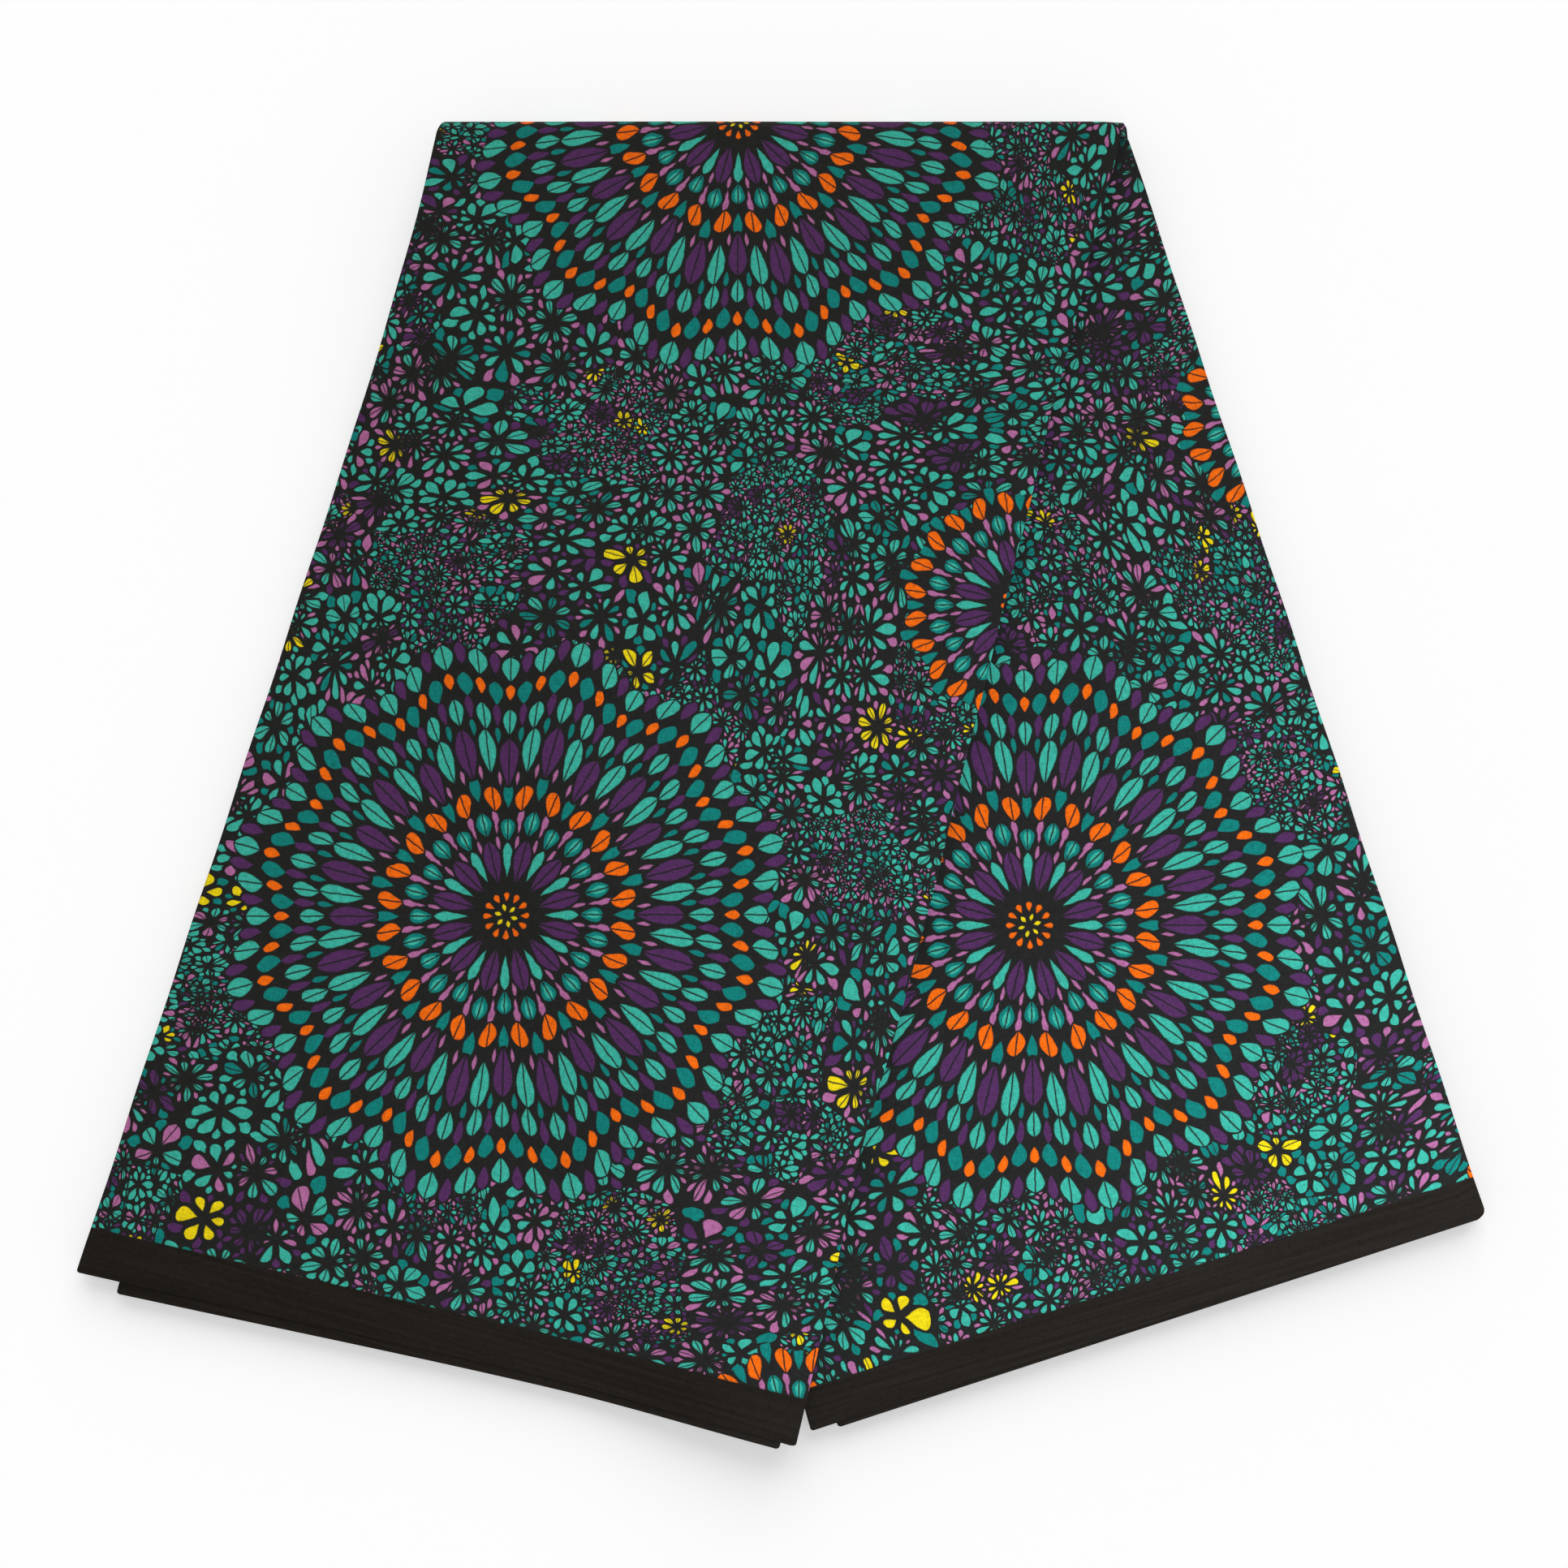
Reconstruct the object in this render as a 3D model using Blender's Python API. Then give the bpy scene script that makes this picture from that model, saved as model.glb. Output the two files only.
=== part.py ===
"""A folded length of wax print cotton, lying flat, ready for the shelf.

One length of cloth is folded to and fro into a strip of eighteen panels, with a selvedge at each
end. The strip is turned over once along a straight top fold, and its two legs lean apart below the
fold. The left leg lies on the right one and sags to the floor beside it. The outer and the inner
panel of each leg are leaves of their own. The sixteen panels between them are one solid that runs
round the fold, with its edges layered.

Metres, +Z up, the origin on the floor under the middle of the whole. The viewer stands at -Y.
"""

import math
from collections import namedtuple

import bpy
from mathutils import Vector

# The cloth and its folding
LEG_THICKNESS = 0.0080
LEAF_THICKNESS = 0.0010
SEAM_GAP = 0.0003
MIDDLE_HEIGHT = LEG_THICKNESS + SEAM_GAP / 2

# The top fold, and how far the slanting strip runs sideways while it turns over
STRIP_WIDTH = 0.3060
STRIP_LEAN = math.radians(15.2)
FOLD_LENGTH = STRIP_WIDTH / math.cos(STRIP_LEAN)
TURN_RUN = math.pi * MIDDLE_HEIGHT * math.tan(STRIP_LEAN)

# The long edges of the two legs: where they leave the fold, from its middle, and how they run down.
# The outer layers end a little off the fold's own ends.
PAST_LEFT_END = 0.0009
SHORT_OF_RIGHT_END = 0.0022
Edge = namedtuple("Edge", "start lean length")
LEFT_OUTER = Edge(-FOLD_LENGTH / 2 - TURN_RUN / 2 - PAST_LEFT_END, math.radians(-15.5), 0.5433)
LEFT_OVER = Edge(FOLD_LENGTH / 2 - TURN_RUN / 2, math.radians(-14.6), 0.6137)
RIGHT_UNDER = Edge(-FOLD_LENGTH / 2 + TURN_RUN / 2, math.radians(15.4), 0.6110)
RIGHT_OUTER = Edge(FOLD_LENGTH / 2 + TURN_RUN / 2 - SHORT_OF_RIGHT_END, math.radians(15.6), 0.5190)

# How far the strip's left edge swells out at the fold, and the share of a leg that takes it up
SWELL_WIDTH = 0.0048
SWELL_REACH = 0.18

# A slow wave in the edge that lies on the right leg
WAVE_PLACE = 0.80
WAVE_REACH = 0.16
WAVE_DEPTH = 0.0030

# The left leg's end is a little hollow, more so towards its right, and the hollow fades up the leg
HOLLOW_DEPTH = 0.0023
HOLLOW_SKEW = 1.5
HOLLOW_FADE = 8

# How the left leg sags off the right one to the floor: full height up to SAG_START beyond the
# right leg's edge, on the floor after SAG_START + SAG_RUN
SAG_START = 0.020
SAG_RUN = 0.080
SAG_DEPTH = LEG_THICKNESS + SEAM_GAP

# Steps of the meshes: a leg's rows are even but for a short one at its end
LEG_STEPS = 13
LAST_EVEN_SHARE = 0.97
LEG_SHARES = tuple(LAST_EVEN_SHARE * step / LEG_STEPS for step in range(LEG_STEPS + 1)) + (1.0,)
TURN_STEPS = 8
STEPS_ACROSS = 12
FLAT_STEPS_ACROSS = 4

# The sixteen hidden panels are eight folded pairs, listed from the outermost to the innermost.
# Each row states how far a pair reaches past the leaves: past each leg's end at the strip's left
# and right side, and past each side at the left leg's end, at the fold and at the right leg's end.
Pair = namedtuple("Pair", "left_end right_end side_a side_b")
PAIRS = (
    Pair((0.0052, 0.0031), (-0.0030, -0.0020), (-0.0183, -0.0006, -0.0020), (-0.0066, -0.0008, -0.0012)),
    Pair((-0.0010, 0.0004), (-0.0008, -0.0024), (-0.0016, -0.0012, -0.0004), (-0.0006, -0.0016, -0.0020)),
    Pair((-0.0030, -0.0022), (-0.0020, -0.0006), (-0.0004, -0.0004, -0.0022), (-0.0018, -0.0005, -0.0004)),
    Pair((-0.0006, -0.0026), (-0.0032, -0.0014), (-0.0020, -0.0012, -0.0008), (-0.0004, -0.0014, -0.0016)),
    Pair((-0.0024, -0.0008), (-0.0012, -0.0028), (-0.0010, -0.0004, -0.0018), (-0.0016, -0.0006, -0.0008)),
    Pair((-0.0012, -0.0030), (-0.0026, -0.0010), (-0.0022, -0.0014, -0.0004), (-0.0006, -0.0014, -0.0022)),
    Pair((-0.0032, -0.0014), (-0.0006, -0.0022), (-0.0006, -0.0006, -0.0020), (-0.0020, -0.0008, -0.0006)),
    Pair((-0.0020, -0.0010), (0.0021, 0.0006), (-0.0008, -0.0005, -0.0121), (-0.0012, -0.0006, -0.0008)),
)
CREASE_GAP = 0.0001
LEAF_NOSE = 0.00035
PAIR_NOSE = 0.00030

Level = namedtuple("Level", "radius left_end right_end side_a side_b")
Row = namedtuple("Row", "stretch along")
LEFT, TURN, RIGHT = "left leg", "turn", "right leg"

PRINTED_CLOTH = (0.035, 0.105, 0.095, 1.0)
DARK_CLOTH = (0.022, 0.040, 0.038, 1.0)
COTTON_ROUGHNESS = 0.85
SHARP_ANGLE = math.radians(40)


def smooth_step(value):
    """0 below 0, 1 above 1, and a soft curve between."""
    value = min(max(value, 0.0), 1.0)
    return value * value * (3.0 - 2.0 * value)


def part_way(first, last, share):
    """The value that lies at a share of the way between two values."""
    return first + (last - first) * share


def edge_point(edge, along):
    """The plan place at the share `along` of a long edge."""
    reach = edge.length * along
    return Vector((edge.start + reach * math.sin(edge.lean), -reach * math.cos(edge.lean)))


def plan_place(stretch, along, across):
    """The plan place of a point of a leg: along from fold to end, across from left to right."""
    left_edge, right_edge = (LEFT_OUTER, LEFT_OVER) if stretch == LEFT else (RIGHT_UNDER, RIGHT_OUTER)
    left = edge_point(left_edge, along)
    right = edge_point(right_edge, along)
    left.x -= SWELL_WIDTH * max(0.0, 1.0 - along / SWELL_REACH) ** 2
    if stretch == LEFT:
        right.x -= WAVE_DEPTH * smooth_step(1.0 - abs(along - WAVE_PLACE) / WAVE_REACH)
    place = left + (right - left) * across
    if stretch == LEFT:
        hollow = math.sin(math.pi * max(across, 0.0) ** HOLLOW_SKEW)
        place.y += HOLLOW_DEPTH * hollow * abs(along) ** HOLLOW_FADE
    return place


def sag_at_place(place):
    """How far the left leg has sunk at a plan place, from its way past the right leg's edge."""
    top = edge_point(RIGHT_UNDER, 0.0)
    way = Vector((math.sin(RIGHT_UNDER.lean), -math.cos(RIGHT_UNDER.lean)))
    beyond = way.x * (place.y - top.y) - way.y * (place.x - top.x)
    return SAG_DEPTH * smooth_step((-beyond - SAG_START) / SAG_RUN)


def sag(along, across):
    """The left leg's sag, straight between the mesh's own points, so that its layers keep apart."""
    row = min(max(sum(share <= along for share in LEG_SHARES) - 1, 0), LEG_STEPS)
    column = min(max(int(across * STEPS_ACROSS), 0), STEPS_ACROSS - 1)
    down = (along - LEG_SHARES[row]) / (LEG_SHARES[row + 1] - LEG_SHARES[row])
    over = across * STEPS_ACROSS - column
    corners = [
        sag_at_place(plan_place(LEFT, share, (column + j) / STEPS_ACROSS))
        for share in LEG_SHARES[row : row + 2]
        for j in (0, 1)
    ]
    near = part_way(corners[0], corners[1], over)
    far = part_way(corners[2], corners[3], over)
    return part_way(near, far, down)


def cloth_point(row, across, radius, past_end=0.0, past_side=0.0):
    """A point of the folded strip, at `radius` from the middle surface that the strip turns round.

    past_end and past_side are lengths by which it lies past the leg's end or the strip's side.
    """
    across += past_side / FOLD_LENGTH
    if row.stretch == TURN:
        angle = math.pi * row.along
        above, below = plan_place(LEFT, 0.0, across), plan_place(RIGHT, 0.0, across)
        x = part_way(above.x, below.x, row.along)
        return Vector((x, radius * math.sin(angle), MIDDLE_HEIGHT + radius * math.cos(angle)))
    mean_length = LEFT_OVER.length if row.stretch == LEFT else RIGHT_UNDER.length
    along = row.along + past_end / mean_length
    place = plan_place(row.stretch, along, across)
    if row.stretch == LEFT:
        return Vector((place.x, place.y, MIDDLE_HEIGHT + radius - sag(along, across)))
    return Vector((place.x, place.y, MIDDLE_HEIGHT - radius))


def side_reach(row, reaches):
    """A layer's reach past the strip's side, at a row, from its reach at end, fold and end."""
    if row.stretch == TURN:
        return reaches[1]
    at_end = reaches[0] if row.stretch == LEFT else reaches[2]
    return part_way(reaches[1], at_end, row.along**2)


def level_point(rows, i, column, columns, level):
    """The point of one level of a slab's rim, or of its upper or lower skin."""
    row = rows[i]
    across = column / columns
    past_side = 0.0
    if column == 0:
        past_side = -side_reach(row, level.side_a)
    elif column == columns:
        past_side = side_reach(row, level.side_b)
    past_end = 0.0
    if i in (0, len(rows) - 1) and row.stretch != TURN:
        reaches = level.left_end if row.stretch == LEFT else level.right_end
        past_end = part_way(reaches[0], reaches[1], across)
        past_end *= 1.0 if row.along > 0.5 else -1.0
    return cloth_point(row, across, level.radius, past_end, past_side)


def slab_mesh(name, rows, columns, levels):
    """A closed slab: a skin on its first and last level, and a rim through all of its levels."""
    last = len(rows) - 1
    rim = [(0, j) for j in range(columns)]
    rim += [(i, columns) for i in range(last)]
    rim += [(last, j) for j in range(columns, 0, -1)]
    rim += [(i, 0) for i in range(last, 0, -1)]
    points = []
    numbers = []
    for k, level in enumerate(levels):
        whole = k in (0, len(levels) - 1)
        stations = [(i, j) for i in range(last + 1) for j in range(columns + 1)] if whole else rim
        numbers.append({})
        for station in stations:
            numbers[k][station] = len(points)
            points.append(level_point(rows, station[0], station[1], columns, level))
    faces = []
    for i in range(last):
        for j in range(columns):
            near, beside, far, along = (i, j), (i, j + 1), (i + 1, j + 1), (i + 1, j)
            faces.append([numbers[0][corner] for corner in (near, beside, far, along)])
            faces.append([numbers[-1][corner] for corner in (near, along, far, beside)])
    for k in range(len(levels) - 1):
        for here, beside in zip(rim, rim[1:] + rim[:1]):
            faces.append(
                [numbers[k][beside], numbers[k][here], numbers[k + 1][here], numbers[k + 1][beside]]
            )
    mesh = bpy.data.meshes.new(name)
    mesh.from_pydata(points, [], faces)
    mesh.validate()
    return mesh


def leaf_levels(outer_radius):
    """The three levels of one leaf: both of its skins and the nose of its edge between them."""
    inset = (-LEAF_NOSE, -LEAF_NOSE)
    inset_side = (-LEAF_NOSE,) * 3
    inner_radius = outer_radius - LEAF_THICKNESS
    return (
        Level(outer_radius, inset, inset, inset_side, inset_side),
        Level((outer_radius + inner_radius) / 2, (0.0, 0.0), (0.0, 0.0), (0.0,) * 3, (0.0,) * 3),
        Level(inner_radius, inset, inset, inset_side, inset_side),
    )


def hidden_levels(outer_radius, inner_radius):
    """The levels of the hidden panels: each pair's edge is a rounded nose between two creases."""
    thickness = (outer_radius - inner_radius) / len(PAIRS)
    levels = []
    for number, pair in enumerate(PAIRS):
        top = outer_radius - thickness * number - (CREASE_GAP / 2 if number else 0.0)
        bottom = outer_radius - thickness * (number + 1)
        bottom += CREASE_GAP / 2 if number < len(PAIRS) - 1 else 0.0
        for radius, nose in ((top, PAIR_NOSE), ((top + bottom) / 2, 0.0), (bottom, PAIR_NOSE)):
            levels.append(Level(radius, *(tuple(reach - nose for reach in part) for part in pair)))
    return levels


def leg_rows(stretch, from_end):
    """The rows of one leg, from its end to the fold or the other way."""
    return [Row(stretch, share) for share in (reversed(LEG_SHARES) if from_end else LEG_SHARES)]


def turn_rows():
    """The rows of the top fold, between those that it shares with the legs."""
    return [Row(TURN, step / TURN_STEPS) for step in range(1, TURN_STEPS)]


def cloth_material(name, colour):
    """A matt printed cotton of one mean colour."""
    material = bpy.data.materials.new(name)
    material.use_nodes = True
    shader = material.node_tree.nodes["Principled BSDF"]
    shader.inputs["Base Color"].default_value = colour
    shader.inputs["Roughness"].default_value = COTTON_ROUGHNESS
    shader.inputs["Metallic"].default_value = 0.0
    return material


def add_cloth(name, rows, columns, levels, colour):
    """One named piece of the folded cloth, with its own material."""
    piece = bpy.data.objects.new(name, slab_mesh(name, rows, columns, levels))
    piece.data.materials.append(cloth_material(name + "_cotton", colour))
    piece.data.shade_smooth()
    piece.data.set_sharp_from_angle(angle=SHARP_ANGLE)
    bpy.context.scene.collection.objects.link(piece)
    return piece


def centre_on_floor(pieces):
    """Moves the pieces' meshes so that the middle of their common box stands on the origin."""
    points = [vertex.co for piece in pieces for vertex in piece.data.vertices]
    shift = Vector((0.0, 0.0, 0.0))
    for axis in (0, 1):
        values = [point[axis] for point in points]
        shift[axis] = -(min(values) + max(values)) / 2
    for piece in pieces:
        for vertex in piece.data.vertices:
            vertex.co += shift


def clear_scene():
    """Removes every object of the scene."""
    for old in list(bpy.data.objects):
        bpy.data.objects.remove(old, do_unlink=True)


def build():
    """Builds the five pieces of the folded cloth."""
    outer_face = LEG_THICKNESS + SEAM_GAP / 2
    hidden_outer = outer_face - LEAF_THICKNESS - SEAM_GAP
    inner_leaf = SEAM_GAP / 2 + LEAF_THICKNESS
    hidden_inner = inner_leaf + SEAM_GAP
    left_down = leg_rows(LEFT, from_end=True)
    right_down = leg_rows(RIGHT, from_end=False)
    turn_end = [Row(TURN, 1.0)]
    seam_share = SEAM_GAP / RIGHT_UNDER.length
    right_from_seam = [Row(RIGHT, seam_share)] + right_down[1:]
    pieces = [
        add_cloth(
            "left_leg_face",
            left_down + turn_rows() + turn_end,
            STEPS_ACROSS,
            leaf_levels(outer_face),
            PRINTED_CLOTH,
        ),
        add_cloth("left_leg_underside", left_down, STEPS_ACROSS, leaf_levels(inner_leaf), PRINTED_CLOTH),
        add_cloth("right_leg_face", right_down, FLAT_STEPS_ACROSS, leaf_levels(inner_leaf), PRINTED_CLOTH),
        add_cloth(
            "right_leg_underside",
            right_from_seam,
            FLAT_STEPS_ACROSS,
            leaf_levels(outer_face),
            PRINTED_CLOTH,
        ),
        add_cloth(
            "hidden_layers",
            left_down + turn_rows() + right_down,
            STEPS_ACROSS,
            hidden_levels(hidden_outer, hidden_inner),
            DARK_CLOTH,
        ),
    ]
    centre_on_floor(pieces)


clear_scene()
build()
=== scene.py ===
"""The looks of a folded length of wax print cotton, lying flat on a pale floor.

The cloth is a strip of eighteen panels, folded to and fro, turned over once at a slanting top fold.
Each stretch that shows is a thin shell of its own, and the sixteen hidden panels are one pleated
shell. The print is worked out from each point's place on the flat cloth.
"""

import logging
import math
from abc import ABC, abstractmethod
from collections.abc import Callable, Sequence
from dataclasses import dataclass
from enum import Enum
from functools import cached_property, partial

import bpy
from mathutils import Matrix, Vector


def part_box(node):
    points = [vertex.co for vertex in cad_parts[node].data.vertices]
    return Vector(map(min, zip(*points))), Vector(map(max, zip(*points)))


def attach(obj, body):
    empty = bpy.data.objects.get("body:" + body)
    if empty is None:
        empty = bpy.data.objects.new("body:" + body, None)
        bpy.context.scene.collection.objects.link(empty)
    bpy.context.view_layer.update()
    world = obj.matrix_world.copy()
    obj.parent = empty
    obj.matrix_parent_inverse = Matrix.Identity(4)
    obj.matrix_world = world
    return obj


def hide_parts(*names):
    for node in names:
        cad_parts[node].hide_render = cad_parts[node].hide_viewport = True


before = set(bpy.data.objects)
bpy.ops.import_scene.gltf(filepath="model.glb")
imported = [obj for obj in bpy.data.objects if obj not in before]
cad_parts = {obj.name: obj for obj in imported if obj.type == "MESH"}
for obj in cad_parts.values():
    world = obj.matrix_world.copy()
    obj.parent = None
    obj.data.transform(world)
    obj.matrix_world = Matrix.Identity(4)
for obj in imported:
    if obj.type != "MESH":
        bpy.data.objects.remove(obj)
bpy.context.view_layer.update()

Colour = tuple[float, float, float, float]
Node = bpy.types.Node
Object = bpy.types.Object
Socket = bpy.types.NodeSocket
log = logging.getLogger("folded_cloth")

CLOTH_PLACE = "cloth_place"
FLOOR = "studio_floor"
PLEATS = "pleated_inner_panels"
MILLIMETRE = 0.001
WHITE = (1.0, 1.0, 1.0, 1.0)


class Stretch(Enum):
    """The three stretches of the folded strip."""

    LEFT = "left leg"
    TURN = "turn"
    RIGHT = "right leg"


class Tint(Enum):
    """The colours of the print, as linear red, green, blue and alpha."""

    GROUND = (0.0136, 0.0130, 0.0110, 1.0)
    BAND = (0.0100, 0.0068, 0.0040, 1.0)
    BAND_STREAK = (0.0145, 0.0105, 0.0074, 1.0)
    TEAL = (0.0387, 0.3650, 0.2640, 1.0)
    DEEP_TEAL = (0.0035, 0.1720, 0.1420, 1.0)
    PURPLE = (0.0750, 0.0205, 0.0820, 1.0)
    LILAC = (0.3850, 0.1180, 0.2530, 1.0)
    ORANGE = (0.8000, 0.1220, 0.0020, 1.0)
    YELLOW = (0.7500, 0.5550, 0.0040, 1.0)


Tints = tuple[tuple[float, Tint], ...]


def smooth_step(value: float) -> float:
    """0 below 0, 1 above 1, and a soft curve between."""
    value = min(max(value, 0.0), 1.0)
    return value * value * (3.0 - 2.0 * value)


def part_way(first: float, last: float, share: float) -> float:
    """The value that lies at a share of the way between two values."""
    return first + (last - first) * share


def spaced(first: Sequence[float], last: float, step: float) -> list[float]:
    """A row of distances: the first ones as given, and the others evenly spaced.

    Args:
        first: The first distances.
        last: The last distance.
        step: The greatest step between the others.

    Returns:
        The distances, in order.
    """
    left = last - first[-1]
    count = math.ceil(left / step)
    return list(first) + [first[-1] + left * (i + 1) / count for i in range(count)]


def corner_inset(radius: float, past: float) -> float:
    """How far a rounded corner draws in, at a distance past its start."""
    past = min(max(past, 0.0), radius)
    return radius - math.sqrt(radius**2 - past**2)


def nose(steps: int, radius: float) -> list[tuple[float, float]]:
    """The points round a fold of two layers: how far down from the upper one, and how far out."""
    angles = [math.pi * step / steps for step in range(1, steps)]
    return [(radius * (1 - math.cos(angle)), radius * math.sin(angle)) for angle in angles]


def linked(name: str, data: bpy.types.ID) -> Object:
    """Adds an object to the scene.

    Args:
        name: Its name.
        data: Its mesh, light or camera.

    Returns:
        The new object.
    """
    made = bpy.data.objects.new(name, data)
    bpy.context.scene.collection.objects.link(made)
    return made


@dataclass(frozen=True)
class Row:
    """One row of points across the strip.

    along runs from the top fold to the leg's end, and in the turn from the left leg to the right.
    """

    stretch: Stretch
    along: float

    @property
    def turned(self) -> float:
        """The share of the turn that lies before it: 0 on the left leg and 1 on the right one."""
        return {Stretch.LEFT: 0.0, Stretch.TURN: self.along, Stretch.RIGHT: 1.0}[self.stretch]


def turn_rows(steps: int) -> list[Row]:
    """The rows of the turn, without its first and last, which belong to the legs."""
    return [Row(Stretch.TURN, i / steps) for i in range(1, steps)]


@dataclass(frozen=True)
class Station:
    """One place across a panel, in its cross-section.

    share runs from the panel's left side to its right one, out is how far the point lies past that
    side, and panel is the panel's number, from 1 outside to 18 inside. Only where it is loose does
    the panel settle onto the next one.
    """

    share: float
    radius: float
    panel: int
    out: float = 0.0
    loose: bool = False


@dataclass(frozen=True)
class ClothPoint:
    """A point of the cloth in the frame, its place on the flat cloth, and its way from the selvedge."""

    position: Vector
    spread: Vector
    from_selvedge: float


Relief = Callable[[Row, Vector], float]


@dataclass(frozen=True)
class LongEdge:
    """A long edge of a leg, as it runs down from the top fold."""

    start: float
    lean: float
    length: float

    def place(self, along: float) -> Vector:
        """The plan place at a share of the edge's length."""
        reach = self.length * along
        return Vector((self.start + reach * math.sin(self.lean), -reach * math.cos(self.lean)))


@dataclass(frozen=True)
class FoldedStrip:
    """How the strip is turned over and lies, with the sizes of the solids.

    A radius is a distance from the surface that the strip turns round, and a place across is a
    share of the way from the strip's left side to its right one.
    """

    middle_height: float = 0.00815
    width: float = 0.3060
    lean: float = math.radians(15.2)
    mean_lean: float = math.radians(15.05)
    past_left_end: float = 0.0009
    short_of_right_end: float = 0.0022
    left_leans: tuple[float, float] = (math.radians(-15.5), math.radians(-14.6))
    left_lengths: tuple[float, float] = (0.5433, 0.6137)
    right_leans: tuple[float, float] = (math.radians(15.4), math.radians(15.6))
    right_lengths: tuple[float, float] = (0.6110, 0.5190)
    swell_width: float = 0.0048
    swell_reach: float = 0.18
    wave_place: float = 0.80
    wave_reach: float = 0.16
    wave_depth: float = 0.0030
    hollow_depth: float = 0.0023
    hollow_skew: float = 1.5
    hollow_fade: int = 8
    sag_start: float = 0.020
    sag_run: float = 0.080
    sag_depth: float = 0.0083
    corner_radius: float = 0.0030
    corner_reach: float = 0.25
    corner_fill: float = 0.0014
    fill_start: float = 0.4
    fill_run: float = 0.25
    fill_reach: float = 0.03
    end_radius: float = 0.0012
    wide_end_radius: float = 0.0040
    left_band: float = 0.0196
    band_straightness: float = 0.6
    right_band: float = 0.0172
    well_inside: float = 30.0

    @property
    def fold_length(self) -> float:
        """The length of the top fold."""
        return self.width / math.cos(self.lean)

    @cached_property
    def edges(self) -> dict[Stretch, tuple[LongEdge, ...]]:
        """The long edges of both legs, which lie aside as the slanting strip turns over.

        Returns:
            The left and the right edge of each leg.
        """
        half, run = self.fold_length / 2, math.pi * self.middle_height * math.tan(self.lean) / 2
        left_starts = (-half - run - self.past_left_end, half - run)
        right_starts = (run - half, half + run - self.short_of_right_end)
        return {
            Stretch.LEFT: tuple(map(LongEdge, left_starts, self.left_leans, self.left_lengths)),
            Stretch.RIGHT: tuple(map(LongEdge, right_starts, self.right_leans, self.right_lengths)),
        }

    @cached_property
    def end_corner(self) -> Vector:
        """The corner between the left leg's end and its left side, as seen from above."""
        return self.plan_place(Row(Stretch.LEFT, 1.0), 0.0)

    @cached_property
    def shift(self) -> Vector:
        """The way from the strip's own zero to where the frame's solids are."""
        low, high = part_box("left_leg_face")
        return Vector((low.x - self.end_corner.x, high.y - self.middle_height, self.middle_height))

    def leg_length(self, leg: Stretch, across: float = 0.5) -> float:
        """The leg's length at a place across it."""
        left, right = self.edges[leg]
        return part_way(left.length, right.length, across)

    def leg_rows(self, leg: Stretch, end_steps: Sequence[float], step: float) -> list[Row]:
        """The rows of a leg, close together at its end.

        Args:
            leg: The leg.
            end_steps: The distances from the end of the first rows.
            step: The greatest distance between the other rows.

        Returns:
            The rows, in order from the left leg's end to the right one's.
        """
        length = self.leg_length(leg)
        rows = [Row(leg, 1.0 - distance / length) for distance in spaced(end_steps, length, step)]
        return rows if leg is Stretch.LEFT else rows[::-1]

    def shares_across(self, side_steps: Sequence[float], step: float) -> list[float]:
        """Places across the strip, close together at both sides.

        Args:
            side_steps: The distances from each side of the first places.
            step: The greatest distance between the other places.

        Returns:
            The places, as shares of the width.
        """
        distances = spaced(side_steps, self.width - side_steps[-1], step)
        distances += [self.width - side for side in reversed(side_steps[:-1])]
        return [distance / self.width for distance in distances]

    def hollow(self, across: float) -> float:
        """How far the left leg's end bows inwards at a place across it."""
        return self.hollow_depth * math.sin(math.pi * max(across, 0.0) ** self.hollow_skew)

    def plan_place(self, row: Row, across: float, past_end: float = 0.0) -> Vector:
        """A point of the strip as seen from above.

        Args:
            row: The row.
            across: The place across it.
            past_end: How far the point lies past the leg's end.

        Returns:
            The point's x and y, from the strip's own zero.
        """
        if row.stretch is Stretch.TURN:
            above, below = (self.plan_place(Row(leg, 0.0), across) for leg in self.edges)
            return above + (below - above) * row.along
        along = row.along + past_end / self.leg_length(row.stretch, across)
        left, right = (edge.place(along) for edge in self.edges[row.stretch])
        left.x -= self.swell_width * max(0.0, 1.0 - along / self.swell_reach) ** 2
        if row.stretch is Stretch.RIGHT:
            return left + (right - left) * across
        right.x -= self.wave_depth * smooth_step(1.0 - abs(along - self.wave_place) / self.wave_reach)
        place = left + (right - left) * across
        place.y += self.hollow(across) * abs(along) ** self.hollow_fade
        return place

    def sag(self, row: Row, place: Vector) -> float:
        """How far the left leg has sunk where it lies past the right leg's edge.

        Args:
            row: The row.
            place: The place as seen from above.

        Returns:
            The depth in metres.
        """
        if row.stretch is not Stretch.LEFT:
            return 0.0
        under = self.edges[Stretch.RIGHT][0]
        off = under.place(0.0) - place
        beyond = math.sin(under.lean) * off.y + math.cos(under.lean) * off.x
        return self.sag_depth * smooth_step((beyond - self.sag_start) / self.sag_run)

    def side_form(self, row: Row, station: Station) -> float:
        """How a side stands out beside the top fold and draws in at the corners of a leg's end.

        Args:
            row: The row.
            station: The station.

        Returns:
            The distance outwards in metres.
        """
        at_right, on_right_leg = station.share > 0.5, row.stretch is Stretch.RIGHT
        fill = self.corner_fill * station.radius / self.middle_height if at_right else 0.0
        if row.stretch is Stretch.TURN:
            return fill * smooth_step((row.along - self.fill_start) / self.fill_run)
        fill *= max(0.0, 1.0 - row.along / self.fill_reach) ** 2 if on_right_leg else 0.0
        radius = self.wide_end_radius if at_right and on_right_leg else self.end_radius
        return fill - corner_inset(radius, radius - (1.0 - row.along) * self.leg_length(row.stretch))

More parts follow.
